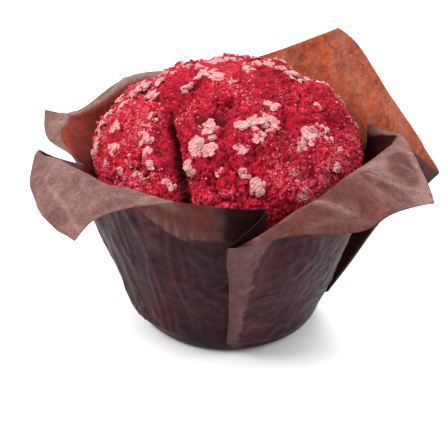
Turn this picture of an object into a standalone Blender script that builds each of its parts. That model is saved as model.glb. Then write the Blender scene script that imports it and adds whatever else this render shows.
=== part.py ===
"""A craggy red velvet muffin in a folded brown paper case.

The case is one square sheet pressed round a round base. It has four panels. Each panel
starts at the standing fold of a pleat, runs counter-clockwise as seen from above, and ends
tucked under the standing fold of the next pleat. Its corner is a petal.
+Z is up, the base lies on z = 0, and the side facing -Y is the front.
"""

import math
import random

import bmesh
import bpy
from mathutils import Matrix, Vector, noise

MM = 0.001

# Paper case: lengths in millimetres, angles in degrees.
PAPER_THICKNESS = 0.5
BASE_FLAT_RADIUS = 23.0
BASE_CORNER = (25.6, 1.1)
WALL_START_HEIGHT = 3.5
WALL_END_HEIGHT = 35.0
WALL_RADIUS_AT_BASE = 26.0
WALL_SPREAD = 0.35

# The layers of a pleat lie LAYER_STEP apart. Each panel spirals out over the layers under
# its standing fold: fully up to the first share across and not at all from the second one,
# and the same for the places up the profile.
LAYER_STEP = 0.95
SPIRAL_ACROSS = (0.3, 0.9)
SPIRAL_PLACES = (1.0, 2.2)

# Pleats: at the base a fold turns back by PLEAT_ROOT_TURN, and above PLEAT_START the layers
# have crossed over. The layer between two folds is upright on the wall and leans further out
# in the petals, from UPRIGHT_TUCK to LEANING_TUCK degrees.
PLEAT_ROOT_TURN = 2.6
PLEAT_CROSSING = 1.3
PLEAT_START = 0.08
PLEAT_SETTLED = 0.4
UPRIGHT_TUCK = 90
LEANING_TUCK = 35
TUCK_LEAN_PLACES = (0.8, 2.2)

# Shares of a stretch that are rounded at the knots across a panel and up its profile.
STATION_ROUNDING = 0.45
PROFILE_ROUNDING = 0.35

# The case and the cake in it lean a little to the right above the base, up to the petals.
LEAN = 0.6
LEAN_START = (4.0, 18.0)
LEAN_END = (35.0, 46.0)

HALF_PANEL_COLUMNS = 7
TUCK_COLUMNS = 2

# The rings of the flat base (radius, height), and the rows of the wall above them: 0 is the
# foot of the wall, 1 the end of the straight wall, 2 the paper's bend and 3 its edge.
BASE_RINGS = ((0.0, 0.0), (14.0, 0.0), (BASE_FLAT_RADIUS, 0.0), BASE_CORNER)
BEND_PLACE = 2.0
WALL_ROWS = (0, PLEAT_START, 0.3, 0.6, 0.85, 1.1, 1.4, 1.7, 1.87, 2, 2.13, 2.3, 2.65, 3)

PAPER_COLOUR = (0.13, 0.065, 0.05)

# How far each panel's standing fold leaves the cup at the top of the straight wall. The
# lift fades out at LIFT_END of the way across.
FOLD_LIFT = {"front_right": 5.5, "back_right": 7.5, "back_left": 4.0, "front_left": 1.0}
LIFT_END = 0.5

# Stations across each panel, in two runs that meet at the panel's corner: from the standing
# fold to the corner, and from the corner to the tucked fold. Each station is its azimuth,
# the radius and height of the paper's bend, and the radius and height of the paper's edge.
PANELS = {
    "front_right": (
        (
            (-90, 58, 52.5, 59.5, 54),
            (-70, 44.8, 57, 50, 51.5),
            (-53, 44.5, 63, 62, 54),
            (-47, 45.5, 66, 66.5, 60.5),
            (-41, 46, 67.5, 74.6, 62.8),
        ),
        (
            (-41, 46, 67.5, 74.6, 62.8),
            (-28, 48, 67.5, 59.5, 64),
            (-14, 50.5, 64.8, 51.5, 65.5),
            (4, 43.5, 55, 45, 58.5),
            (14, 43, 50, 43, 57),
        ),
    ),
    "back_right": (
        (
            (0, 56.5, 40, 63, 46.4),
            (10, 53, 43, 59.7, 49),
            (28, 47.5, 48, 55, 60.2),
            (40, 46.5, 53, 53, 71.8),
            (50, 46, 56, 52.5, 75.1),
        ),
        (
            (50, 46, 56, 52.5, 75.1),
            (61, 45, 56, 46.5, 70.5),
            (74, 44.5, 52, 47.6, 64.2),
            (92, 43.5, 50, 45, 59),
            (106, 43, 50, 43, 57),
        ),
    ),
    "back_left": (
        (
            (90, 55, 46, 60, 50),
            (110, 48.5, 56.5, 53, 57),
            (128, 50, 58.5, 54, 57.5),
            (138, 52, 54, 60, 49),
            (144, 55.5, 51.5, 65.5, 46),
            (147, 57.5, 51, 68.5, 49),
        ),
        (
            (147, 57.5, 51, 68.5, 49),
            (150, 56.5, 50.5, 66.5, 44.5),
            (156, 54, 50, 60, 45),
            (164, 49, 50, 52, 48),
            (174, 44.5, 48, 45, 50),
            (195, 43, 48, 43, 55),
        ),
    ),
    "front_left": (
        (
            (180, 54, 52.5, 55.7, 54),
            (197, 50, 61.5, 59.8, 53),
            (217, 49, 66, 64.2, 52.5),
            (230, 50, 67, 64.9, 51.1),
        ),
        (
            (230, 50, 67, 64.9, 51.1),
            (235, 49, 66.3, 61.5, 60.5),
            (243, 46.5, 62.5, 54, 61.5),
            (251, 43.6, 58.5, 44.2, 59.2),
            (268, 42.8, 52, 43.2, 58),
            (284, 42.6, 50, 42.6, 57),
        ),
    ),
}
ORDER = ("front_right", "back_right", "back_left", "front_left")

# Cake: lengths in millimetres. It keeps a small gap to the paper under it.
CAKE_BOTTOM = PAPER_THICKNESS + 0.3
CAKE_FLAT_RADIUS = 22.0
DOME_HEIGHT = 55.0
DOME_RADIUS = 40.4
DOME_POWER = 1.27
CAKE_TOP = 78.5
DOME_SHIFT = -1.0
TOP_SHIFT = 2.2
OUTWARD_RISE = 1.6
OUTWARD_CENTRE = DOME_HEIGHT - 6
CRAGS_START = (DOME_HEIGHT - 1, DOME_HEIGHT + 6)
CAKE_SEGMENTS = 60
CAKE_RINGS = 34

# The cake's side below the dome: share of the way from base to top, radius and height.
CAKE_SIDE = (
    (0.0, 0.0, CAKE_BOTTOM),
    (0.09, CAKE_FLAT_RADIUS, CAKE_BOTTOM),
    (0.12, 24.6, 1.9),
    (0.15, 26.3, 4.4),
    (0.32, 36.9, 34.0),
    (0.42, DOME_RADIUS, DOME_HEIGHT),
)

# Crags are two sizes of smooth bumps. The split runs back from the front of the dome and
# bends to the left as it climbs. Its left side slopes gently and its right side is steep.
CRAG_HEIGHT = 1.5
CRAG_SIZE = 11.0
FINE_CRAG_HEIGHT = 1.05
FINE_CRAG_SIZE = 4.8
CRAG_OFFSET = Vector((5, 1, 3))
SPLIT_X = -12.0
SPLIT_LEAN = -0.17
SPLIT_BEND = -0.02
SPLIT_DEPTH = 6.0
SPLIT_LEFT_WIDTH = 3.6
SPLIT_RIGHT_WIDTH = 2.2
SPLIT_WANDER = 0.9
SPLIT_WANDER_SIZE = 7.0
SPLIT_END = (-18.0, 0.0)

# Sugar nibs: (size, count), largest first.
NIB_SIZES = ((6.4, 9), (4.6, 22), (3.2, 40))
NIB_SEED = 7
NIB_TRIES = 30
NIB_LOWEST = 0.1
NIB_UNEVEN = 0.09
SLIVER = 0.04
CAKE_COLOUR = (0.45, 0.01, 0.03)


def wall_radius(height):
    """Radius of the cup's wall at a height, in millimetres."""
    return WALL_RADIUS_AT_BASE + WALL_SPREAD * height


def smooth_step(low, high, value):
    """Zero below low, one above high, with a soft rise between."""
    share = min(max((value - low) / (high - low), 0.0), 1.0)
    return share * share * (3 - 2 * share)


def blend(first, second, share):
    """The point at a share of the way from the first to the second."""
    return [a + (b - a) * share for a, b in zip(first, second)]


def rounded_line(points, place, reach):
    """A point on the line through equally counted points, its inner corners rounded."""
    last = len(points) - 1
    corner = min(max(round(place), 1), last - 1)
    if last > 1 and abs(place - corner) < reach:
        before = blend(points[corner], points[corner - 1], reach)
        after = blend(points[corner], points[corner + 1], reach)
        t = (place - corner + reach) / (2 * reach)
        middle = points[corner]
        return blend(blend(before, middle, t), blend(middle, after, t), t)
    low = min(int(place), last - 1)
    return blend(points[low], points[low + 1], place - low)


def lean(height):
    """How far the case and the cake stand to the right at a height, in millimetres."""
    return LEAN * smooth_step(*LEAN_START, height) * (1 - smooth_step(*LEAN_END, height))


def station(panel, across):
    """The panel's station at a share of the way across, creased only at its corner."""
    rise, fall = PANELS[panel]
    if across < 0.5:
        return rounded_line(rise, 2 * across * (len(rise) - 1), STATION_ROUNDING)
    return rounded_line(fall, (2 * across - 1) * (len(fall) - 1), STATION_ROUNDING)


def panel_point(panel, across, place):
    """Azimuth, radius and height on a panel; place runs from the base (0) to the edge (3)."""
    first_fold = -90 + 90 * ORDER.index(panel)
    top_azimuth, bend_radius, bend_height, edge_radius, edge_height = station(panel, across)
    lift = FOLD_LIFT[panel] * (1 - smooth_step(0.0, LIFT_END, across))
    knots = (
        (wall_radius(WALL_START_HEIGHT), WALL_START_HEIGHT),
        (wall_radius(WALL_END_HEIGHT) + lift, WALL_END_HEIGHT),
        (bend_radius, bend_height),
        (edge_radius, edge_height),
    )
    radius, height = rounded_line(knots, place, PROFILE_ROUNDING)
    opening = min(place / PLEAT_START, 1.0)
    turn = min(max((place - PLEAT_START) / (BEND_PLACE - PLEAT_START), 0.0), 1.0)
    root_turn = PLEAT_ROOT_TURN * (1 - PLEAT_CROSSING * opening) * (1 - turn)
    overlap = PANELS[panel][1][-1][0] - first_fold - 90
    low_azimuth = first_fold + root_turn
    high_azimuth = first_fold + 90 - root_turn + overlap * turn
    straight = low_azimuth + (high_azimuth - low_azimuth) * across
    shift = top_azimuth - (first_fold + (90 + overlap) * across)
    spiral = 1 - smooth_step(*SPIRAL_ACROSS, across)
    spiral *= 1 - smooth_step(*SPIRAL_PLACES, place)
    step = 2 * LAYER_STEP * opening
    return straight + shift * turn, radius + step * spiral, height


def tuck_point(panel, share, place):
    """A point on the layer that runs back from a panel's tucked fold to the next fold."""
    following = ORDER[(ORDER.index(panel) + 1) % len(ORDER)]
    inner = panel_point(panel, 1.0, place)
    outer = panel_point(following, 0.0, place)
    if following == ORDER[0]:
        outer = (outer[0] + 360, outer[1], outer[2])
    opening = min(place / PLEAT_START, 1.0)
    folded = smooth_step(PLEAT_START, PLEAT_SETTLED, place)
    gap = LAYER_STEP * opening * (0.5 + 0.5 * folded)
    leaning = smooth_step(*TUCK_LEAN_PLACES, place)
    slant = math.radians(UPRIGHT_TUCK + (LEANING_TUCK - UPRIGHT_TUCK) * leaning)
    back = math.degrees(gap * math.cos(slant) / outer[1])
    spread = PLEAT_ROOT_TURN / 2 * (1 - opening)
    inner = (inner[0] + spread, inner[1] + gap, inner[2])
    outer = (outer[0] - spread - back, outer[1] - gap * math.sin(slant), outer[2])
    return blend(inner, outer, share)


def case_columns():
    """The columns of the sheet in order, each a function of the place up the profile."""
    columns = []
    for panel in ORDER:
        count = 2 * HALF_PANEL_COLUMNS
        for i in range(count + 1):
            columns.append(lambda place, p=panel, u=i / count: panel_point(p, u, place))
        for i in range(TUCK_COLUMNS + 1):
            columns.append(lambda place, p=panel, u=i / TUCK_COLUMNS: tuck_point(p, u, place))
    return columns


def case_point(column, row):
    """The middle of the paper at a column and a row, in metres."""
    if row < len(BASE_RINGS):
        azimuth = column(0.0)[0]
        radius, height = BASE_RINGS[row]
        height += PAPER_THICKNESS / 2
    else:
        azimuth, radius, height = column(WALL_ROWS[row - len(BASE_RINGS)])
    angle = math.radians(azimuth)
    x = radius * math.cos(angle) + lean(height)
    return Vector((x, radius * math.sin(angle), height)) * MM


def make_material(name, colour, roughness):
    """A plain material in one colour."""
    material = bpy.data.materials.new(name)
    material.use_nodes = True
    shader = material.node_tree.nodes["Principled BSDF"]
    shader.inputs["Base Color"].default_value = (*colour, 1.0)
    shader.inputs["Roughness"].default_value = roughness
    shader.inputs["Metallic"].default_value = 0.0
    return material


def finished(name, bm):
    """An object with the bmesh's faces, which frees the bmesh."""
    bmesh.ops.recalc_face_normals(bm, faces=bm.faces)
    mesh = bpy.data.meshes.new(name)
    bm.to_mesh(mesh)
    bm.free()
    return bpy.data.objects.new(name, mesh)


def make_paper_case():
    """The folded sheet: a grid whose columns go once round the cup, given thickness."""
    columns = case_columns()
    columns.append(columns[0])
    column_count = len(columns) - 1
    row_count = len(BASE_RINGS) + len(WALL_ROWS) - 1
    bm = bmesh.new()
    bmesh.ops.create_grid(bm, x_segments=column_count, y_segments=row_count, size=1)
    for vert in bm.verts:
        column = round((vert.co.x + 1) / 2 * column_count)
        row = round((vert.co.y + 1) / 2 * row_count)
        vert.co = case_point(columns[column], row)
    bmesh.ops.remove_doubles(bm, verts=bm.verts, dist=0.01 * MM)
    paper = finished("paper_case", bm)
    paper.data.materials.append(make_material("greasy_brown_paper", PAPER_COLOUR, 0.5))
    thickness = paper.modifiers.new("thickness", "SOLIDIFY")
    thickness.thickness = PAPER_THICKNESS * MM
    thickness.offset = 0
    thickness.use_even_offset = True
    return paper


def cake_profile(share):
    """Radius and height of the plain cake, from the middle of its base to its top."""
    for low, high in zip(CAKE_SIDE, CAKE_SIDE[1:]):
        if share < high[0]:
            return blend(low[1:], high[1:], (share - low[0]) / (high[0] - low[0]))
    turn = math.radians(90) * (share - CAKE_SIDE[-1][0]) / (1 - CAKE_SIDE[-1][0])
    radius = DOME_RADIUS * max(math.cos(turn), 0.0) ** DOME_POWER
    return radius, DOME_HEIGHT + (CAKE_TOP - DOME_HEIGHT) * math.sin(turn) ** DOME_POWER


def crag(point):
    """How far the crumb stands out of the plain dome at a point, in millimetres."""
    height = CRAG_HEIGHT * noise.noise(point / CRAG_SIZE)
    return height + FINE_CRAG_HEIGHT * noise.noise(point / FINE_CRAG_SIZE + CRAG_OFFSET)


def split(point):
    """How deep the dome's long split is at a point, in millimetres."""
    rise = point.z - DOME_HEIGHT
    wander = SPLIT_WANDER * noise.noise(point / SPLIT_WANDER_SIZE)
    across = point.x - (SPLIT_X + SPLIT_LEAN * rise + SPLIT_BEND * rise * rise + wander)
    across /= SPLIT_LEFT_WIDTH if across < 0 else SPLIT_RIGHT_WIDTH
    along = 1 - smooth_step(*SPLIT_END, point.y)
    return SPLIT_DEPTH * math.exp(-across * across) * along


def cake_point(direction):
    """The cake's surface in a direction of the unit sphere, in millimetres."""
    share = math.acos(max(-1.0, min(1.0, -direction.z))) / math.pi
    angle = math.atan2(direction.y, direction.x)
    radius, height = cake_profile(share)
    point = Vector((radius * math.cos(angle), radius * math.sin(angle), height))
    point.x += lean(height) + DOME_SHIFT * smooth_step(WALL_END_HEIGHT, DOME_HEIGHT, height)
    point.x += TOP_SHIFT * smooth_step(DOME_HEIGHT, CAKE_TOP, height)
    open_part = smooth_step(*CRAGS_START, height)
    outward = Vector((point.x, point.y, OUTWARD_RISE * (height - OUTWARD_CENTRE))).normalized()
    return point + outward * open_part * (crag(point) - split(point))


def make_cake_body():
    """The crumb: a sphere whose rings follow the cake's profile, with crags and a split."""
    bm = bmesh.new()
    bmesh.ops.create_uvsphere(bm, u_segments=CAKE_SEGMENTS, v_segments=CAKE_RINGS, radius=1)
    for vert in bm.verts:
        vert.co = cake_point(vert.co.normalized()) * MM
    return finished("cake", bm)


def nib_places():
    """Directions of the sugar nibs, largest first, spread evenly over the open dome."""
    draw = random.Random(NIB_SEED)
    places = []
    for size, count in NIB_SIZES:
        for _ in range(count):
            best = None
            for _ in range(NIB_TRIES):
                height = draw.uniform(NIB_LOWEST, 1.0)
                angle = draw.uniform(-math.pi, math.pi)
                side = math.sqrt(1 - height * height)
                spot = Vector((side * math.cos(angle), side * math.sin(angle), height))
                room = min(((spot - other).length / reach for other, reach in places), default=9)
                if best is None or room > best[0]:
                    best = (room, spot)
            places.append((best[1], size))
    return places


def make_nib(number, direction, size):
    """One sugar nib: a small uneven lump, flattened and half sunk in the crumb."""
    draw = random.Random(NIB_SEED * 1000 + number)
    centre = cake_point(direction)
    bm = bmesh.new()
    bmesh.ops.create_uvsphere(bm, u_segments=5, v_segments=4, radius=0.5)
    stretch = Vector((draw.uniform(0.8, 1.3), draw.uniform(0.7, 1.0), draw.uniform(0.5, 0.7)))
    for vert in bm.verts:
        uneven = Vector([draw.uniform(-NIB_UNEVEN, NIB_UNEVEN) for _ in range(3)])
        vert.co = (vert.co + uneven) * stretch * size
    turn = direction.to_track_quat("Z", "Y").to_matrix().to_4x4()
    spin = Matrix.Rotation(draw.uniform(0, math.pi), 4, "Z")
    bmesh.ops.transform(bm, matrix=Matrix.Translation(centre) @ turn @ spin, verts=bm.verts)
    bmesh.ops.scale(bm, vec=(MM, MM, MM), verts=bm.verts)
    return finished(f"nib_{number:03d}", bm)


def drop_slivers(mesh):
    """Triangulate a mesh and collapse the edges and faces that are too short or thin to see."""
    bm = bmesh.new()
    bm.from_mesh(mesh)
    bmesh.ops.triangulate(bm, faces=bm.faces)
    bmesh.ops.dissolve_degenerate(bm, dist=SLIVER * MM, edges=bm.edges)
    bmesh.ops.triangulate(bm, faces=bm.faces)
    bm.to_mesh(mesh)
    bm.free()


def make_cake(collection):
    """The cake with its sugar nibs, fused by one union."""
    cake = make_cake_body()
    cake.data.materials.append(make_material("red_crumb", CAKE_COLOUR, 0.8))
    collection.objects.link(cake)
    nibs = bpy.data.collections.new("nibs")
    bpy.context.scene.collection.children.link(nibs)
    for number, (direction, size) in enumerate(nib_places()):
        nibs.objects.link(make_nib(number, direction, size))
    union = cake.modifiers.new("nibs", "BOOLEAN")
    union.operand_type = "COLLECTION"
    union.collection = nibs
    union.operation = "UNION"
    union.solver = "MANIFOLD"
    bpy.context.view_layer.objects.active = cake
    cake.select_set(True)
    bpy.ops.object.modifier_apply(modifier=union.name)
    for nib in list(nibs.objects):
        bpy.data.objects.remove(nib, do_unlink=True)
    bpy.data.collections.remove(nibs)
    drop_slivers(cake.data)


def main():
    for ob in list(bpy.data.objects):
        bpy.data.objects.remove(ob, do_unlink=True)
    collection = bpy.data.collections.new("red_velvet_muffin")
    bpy.context.scene.collection.children.link(collection)
    collection.objects.link(make_paper_case())
    make_cake(collection)


main()
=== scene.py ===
# %% [markdown]
# # A red velvet muffin in a folded paper case
#
# This lesson dresses a plain solid model of a muffin. The solid gives the true sizes. Here
# it gets its looks: a crumbly crimson dome, lumps of sugar, and thin brown baking paper that
# is dark where grease has soaked in. Every piece is a mesh at its real size, in metres.

import math
import random

import bmesh
import bpy
import numpy as np
from mathutils import Matrix, Vector, noise


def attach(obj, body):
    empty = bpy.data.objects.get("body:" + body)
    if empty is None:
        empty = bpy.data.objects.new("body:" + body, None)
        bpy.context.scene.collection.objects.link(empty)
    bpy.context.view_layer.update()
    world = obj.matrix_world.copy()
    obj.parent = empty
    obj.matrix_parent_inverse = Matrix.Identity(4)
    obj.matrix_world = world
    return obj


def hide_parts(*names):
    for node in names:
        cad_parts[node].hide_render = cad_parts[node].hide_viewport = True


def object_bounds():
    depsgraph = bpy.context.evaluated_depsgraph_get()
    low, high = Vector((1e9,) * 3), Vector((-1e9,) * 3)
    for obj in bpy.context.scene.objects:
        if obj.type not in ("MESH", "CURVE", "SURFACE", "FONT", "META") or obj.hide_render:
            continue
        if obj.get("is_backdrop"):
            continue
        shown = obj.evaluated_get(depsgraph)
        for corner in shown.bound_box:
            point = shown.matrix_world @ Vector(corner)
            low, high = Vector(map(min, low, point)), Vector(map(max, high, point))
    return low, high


MM = 0.001
NOISE_SEED = 4
noise.seed_set(NOISE_SEED)  # without a seed, vector noise starts from the clock
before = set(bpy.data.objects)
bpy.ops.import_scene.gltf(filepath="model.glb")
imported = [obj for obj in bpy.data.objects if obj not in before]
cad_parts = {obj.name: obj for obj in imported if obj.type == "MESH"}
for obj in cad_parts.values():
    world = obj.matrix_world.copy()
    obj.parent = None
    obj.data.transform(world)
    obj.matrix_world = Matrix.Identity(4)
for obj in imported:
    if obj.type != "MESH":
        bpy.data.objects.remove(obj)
cad_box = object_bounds()
print("nodes:", sorted(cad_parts))
print("solid model, mm:", [round(float(b - a) / MM, 1) for a, b in zip(*cad_box)])

# %% [markdown]
# ## Small tools for shapes
#
# Two helpers do most of the shaping. A soft step turns a number into a share from 0 to 1.
# A rounded line walks along a few knots, which is how folded paper bends.

# %% Soft steps and rounded lines


def smooth_step(low, high, value):
    """Zero below low, one above high, with a soft rise between."""
    share = min(max((value - low) / (high - low), 0.0), 1.0)
    return share * share * (3 - 2 * share)


def blend(first, second, share):
    """The point at a share of the way from the first to the second."""
    return [a + (b - a) * share for a, b in zip(first, second)]


def rounded_line(points, place, reach):
    """A point on the line through equally counted points, its inner corners rounded."""
    last = len(points) - 1
    corner = min(max(round(place), 1), last - 1)
    if last > 1 and abs(place - corner) < reach:
        before = blend(points[corner], points[corner - 1], reach)
        after = blend(points[corner], points[corner + 1], reach)
        t = (place - corner + reach) / (2 * reach)
        middle = points[corner]
        return blend(blend(before, middle, t), blend(middle, after, t), t)
    low = min(int(place), last - 1)
    return blend(points[low], points[low + 1], place - low)


print("a soft step half way:", smooth_step(0, 1, 0.5))

# %% Keep every piece inside the solid model's box
SOFT_EDGE = 1.2


def held_inside(points, room=0.0):
    """Points in millimetres, those near the box's sides and top pressed softly inwards."""
    low, high = np.array(cad_box) / MM
    low = low + (room, room, -2 * SOFT_EDGE)
    high = high - room
    over = np.array(points) - (high - SOFT_EDGE)
    pressed = np.where(over > 0, high - SOFT_EDGE * np.exp(-over / SOFT_EDGE), points)
    under = low + SOFT_EDGE - pressed
    return np.where(under > 0, low + SOFT_EDGE * np.exp(-under / SOFT_EDGE), pressed)


print("a point outside is brought back:", held_inside((0.0, 0.0, 80.0)).round(2))

# %% [markdown]
# ## Shader maths that reads like maths
#
# A material is a graph of nodes. Wiring it by hand hides the idea, so a small class wraps a
# socket and lets us write 1 - mask or height * 0.3. A second class holds a material and adds
# every other kind of node with one method.

# %% A socket that can be added and multiplied


class Wire:
    """A shader socket that works in expressions."""

    def __init__(self, finish, socket):
        self.finish = finish
        self.socket = socket

    def maths(self, operation, first, second):
        values = {0: first, 1: second}
        return self.finish.node("ShaderNodeMath", {"operation": operation}, values)

    def __add__(self, other):
        return self.maths("ADD", self, other)

    def __sub__(self, other):
        return self.maths("SUBTRACT", self, other)

    def __rsub__(self, other):
        return self.maths("SUBTRACT", other, self)

    def __mul__(self, other):
        return self.maths("MULTIPLY", self, other)

    __radd__ = __add__
    __rmul__ = __mul__


class Finish:
    """A material, and the tools to build its nodes."""

    def __init__(self, name, roughness):
        self.material = bpy.data.materials.new(name)
        self.material.use_nodes = True
        self.tree = self.material.node_tree
        self.shader = self.tree.nodes["Principled BSDF"]
        self.shader.inputs["Roughness"].default_value = roughness
        self.place = self.node("ShaderNodeTexCoord", {}, {}, "Object")

    def join(self, value, socket):
        """Link a wire to a socket, or set the socket to a plain value."""
        if isinstance(value, Wire):
            self.tree.links.new(value.socket, socket)
        elif isinstance(value, tuple) and len(value) == 3 and socket.type == "RGBA":
            socket.default_value = (*value, 1.0)
        else:
            socket.default_value = value

    def node(self, kind, settings, inputs, output=0):
        """Add a node with its settings and inputs, and give the wire of one output."""
        node = self.tree.nodes.new(kind)
        for key, value in settings.items():
            setattr(node, key, value)
        for key, value in inputs.items():
            self.join(value, node.inputs[key])
        return Wire(self, node.outputs[output])

    def attribute(self, name):
        """A number stored on the mesh's points."""
        return self.node("ShaderNodeAttribute", {"attribute_name": name}, {}, "Fac")

    def noise(self, size, detail, roughness, vector=None):
        """Cloudy noise whose blobs are about size millimetres wide, from 0 to 1."""
        values = {"Vector": vector or self.place, "Scale": 1 / (size * MM)}
        values.update({"Detail": detail, "Roughness": roughness})
        return self.node("ShaderNodeTexNoise", {}, values, "Fac")

    def cells(self, size, output="Distance"):
        """Cells about size millimetres wide: the distance to their middle, or their colour."""
        values = {"Vector": self.place, "Scale": 1 / (size * MM)}
        return self.node("ShaderNodeTexVoronoi", {"feature": "F1"}, values, output)

    def between(self, low, high, value):
        """A soft step from low to high."""
        values = {"Value": value, "From Min": low, "From Max": high}
        return self.node("ShaderNodeMapRange", {"interpolation_type": "SMOOTHSTEP"}, values)

    def mix(self, share, first, second, kind="MIX"):
        """One colour turning into another."""
        settings = {"data_type": "RGBA", "blend_type": kind}
        return self.node("ShaderNodeMix", settings, {0: share, 6: first, 7: second}, 2)

    def bump(self, height, millimetres, below=None):
        """Relief whose full height is given in millimetres."""
        values = {"Height": height, "Distance": millimetres * MM, "Strength": 1.0}
        if below:
            values["Normal"] = below
        return self.node("ShaderNodeBump", {}, values)

    def paint(self, **values):
        """Join wires or plain values to the shader's own sockets, such as Base_Color."""
        for key, value in values.items():
            self.join(value, self.shader.inputs[key.replace("_", " ")])
        return self.material


print("shader tools ready")

# %% [markdown]
# ## The paper case: one square sheet
#
# The real case is a square of baking paper pressed round a mould. Four flat pleats take up
# the spare paper, so the sheet has four panels, and each panel's corner stands or flops as
# a petal. We describe each panel by a few stations across it. A station gives its azimuth,
# the radius and height where the paper bends away from the cake, and those of its edge. One
# station of each panel is the sheet's own corner.

# %% Sizes of the folded sheet, in millimetres and degrees; places run from 0 to 3
WALL_START_HEIGHT = 3.5
WALL_END_HEIGHT = 35.0
WALL_RADIUS_AT_BASE = 26.0
WALL_SPREAD = 0.35
LAYER_STEP = 0.95
SPIRAL_ACROSS = (0.3, 0.9)
SPIRAL_PLACES = (1.0, 2.2)
PLEAT_ROOT_TURN = 2.6
PLEAT_CROSSING = 1.3
PLEAT_START = 0.08
PLEAT_SETTLED = 0.4
UPRIGHT_TUCK = 90
LEANING_TUCK = 35
TUCK_LEAN_PLACES = (0.8, 2.2)
STATION_ROUNDING = 0.45
PROFILE_ROUNDING = 0.35
LEAN = 0.6
LEAN_START = (4.0, 18.0)
LEAN_END = (35.0, 46.0)
LIFT_END = 0.5
BEND_PLACE = 2.0
FOLD_LIFT = {"front_right": 5.5, "back_right": 7.5, "back_left": 4.0, "front_left": 1.0}
PANELS = {
    "front_right": (
        (-90, 58, 52.5, 59.5, 54), (-70, 44.8, 57, 50, 51.5), (-53, 44.5, 63, 62, 54),
        (-47, 45.5, 66, 66.5, 60.5), (-41, 46, 67.5, 74.6, 62.8), (-28, 48, 67.5, 59.5, 64),
        (-14, 50.5, 64.8, 51.5, 65.5), (4, 43.5, 55, 45, 58.5), (14, 43, 50, 43, 57),
    ),
    "back_right": (
        (0, 56.5, 40, 63, 46.4), (10, 53, 43, 59.7, 49), (28, 47.5, 48, 55, 60.2),
        (40, 46.5, 53, 53, 71.8), (50, 46, 56, 52.5, 75.1), (61, 45, 56, 46.5, 70.5),
        (74, 44.5, 52, 47.6, 64.2), (92, 43.5, 50, 45, 59), (106, 43, 50, 43, 57),
    ),
    "back_left": (
        (90, 55, 46, 60, 50), (110, 48.5, 56.5, 53, 57), (128, 50, 58.5, 54, 57.5),
        (138, 52, 54, 60, 49), (144, 55.5, 51.5, 65.5, 46), (147, 57.5, 51, 68.5, 49),
        (150, 56.5, 50.5, 66.5, 44.5), (156, 54, 50, 60, 45), (164, 49, 50, 52, 48),
        (174, 44.5, 48, 45, 50), (195, 43, 48, 43, 55),
    ),
    "front_left": (
        (180, 54, 52.5, 55.7, 54), (197, 50, 61.5, 59.8, 53), (217, 49, 66, 64.2, 52.5),
        (230, 50, 67, 64.9, 51.1), (235, 49, 66.3, 61.5, 60.5), (243, 46.5, 62.5, 54, 61.5),
        (251, 43.6, 58.5, 44.2, 59.2), (268, 42.8, 52, 43.2, 58), (284, 42.6, 50, 42.6, 57),
    ),
}
CORNER_STATION = {"front_right": 4, "back_right": 4, "back_left": 5, "front_left": 3}
ORDER = tuple(PANELS)
print("panels, counter-clockwise from above:", ORDER)

# %% Where a point of the sheet goes when it is folded


def wall_radius(height):
    """Radius of the cup's wall at a height, in millimetres."""
    return WALL_RADIUS_AT_BASE + WALL_SPREAD * height


def lean(height):
    """How far the case and the cake stand to the right at a height, in millimetres."""
    return LEAN * smooth_step(*LEAN_START, height) * (1 - smooth_step(*LEAN_END, height))


def round_point(radius, angle, height):
    """A point round the muffin's leaning axis, its angle in radians."""
    return Vector((radius * math.cos(angle) + lean(height), radius * math.sin(angle), height))


def station(panel, across):
    """The panel's station at a share of the way across, creased only at its corner."""
    corner = CORNER_STATION[panel]
    if across < 0.5:
        rise = PANELS[panel][:corner + 1]
        return rounded_line(rise, 2 * across * corner, STATION_ROUNDING)
    fall = PANELS[panel][corner:]
    return rounded_line(fall, (2 * across - 1) * (len(fall) - 1), STATION_ROUNDING)


def panel_point(panel, across, place):
    """Azimuth, radius and height on a panel; place runs from the base (0) to the edge (3)."""
    first_fold = -90 + 90 * ORDER.index(panel)
    top_azimuth, bend_radius, bend_height, edge_radius, edge_height = station(panel, across)
    lift = FOLD_LIFT[panel] * (1 - smooth_step(0.0, LIFT_END, across))
    knots = (
        (wall_radius(WALL_START_HEIGHT), WALL_START_HEIGHT),
        (wall_radius(WALL_END_HEIGHT) + lift, WALL_END_HEIGHT),
        (bend_radius, bend_height),
        (edge_radius, edge_height),
    )
    radius, height = rounded_line(knots, place, PROFILE_ROUNDING)
    opening = min(place / PLEAT_START, 1.0)
    turn = min(max((place - PLEAT_START) / (BEND_PLACE - PLEAT_START), 0.0), 1.0)
    root_turn = PLEAT_ROOT_TURN * (1 - PLEAT_CROSSING * opening) * (1 - turn)
    overlap = PANELS[panel][-1][0] - first_fold - 90
    low_azimuth = first_fold + root_turn
    high_azimuth = first_fold + 90 - root_turn + overlap * turn
    straight = low_azimuth + (high_azimuth - low_azimuth) * across
    shift = top_azimuth - (first_fold + (90 + overlap) * across)
    spiral = 1 - smooth_step(*SPIRAL_ACROSS, across)
    spiral *= 1 - smooth_step(*SPIRAL_PLACES, place)
    step = 2 * LAYER_STEP * opening
    return straight + shift * turn, radius + step * spiral, height


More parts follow.
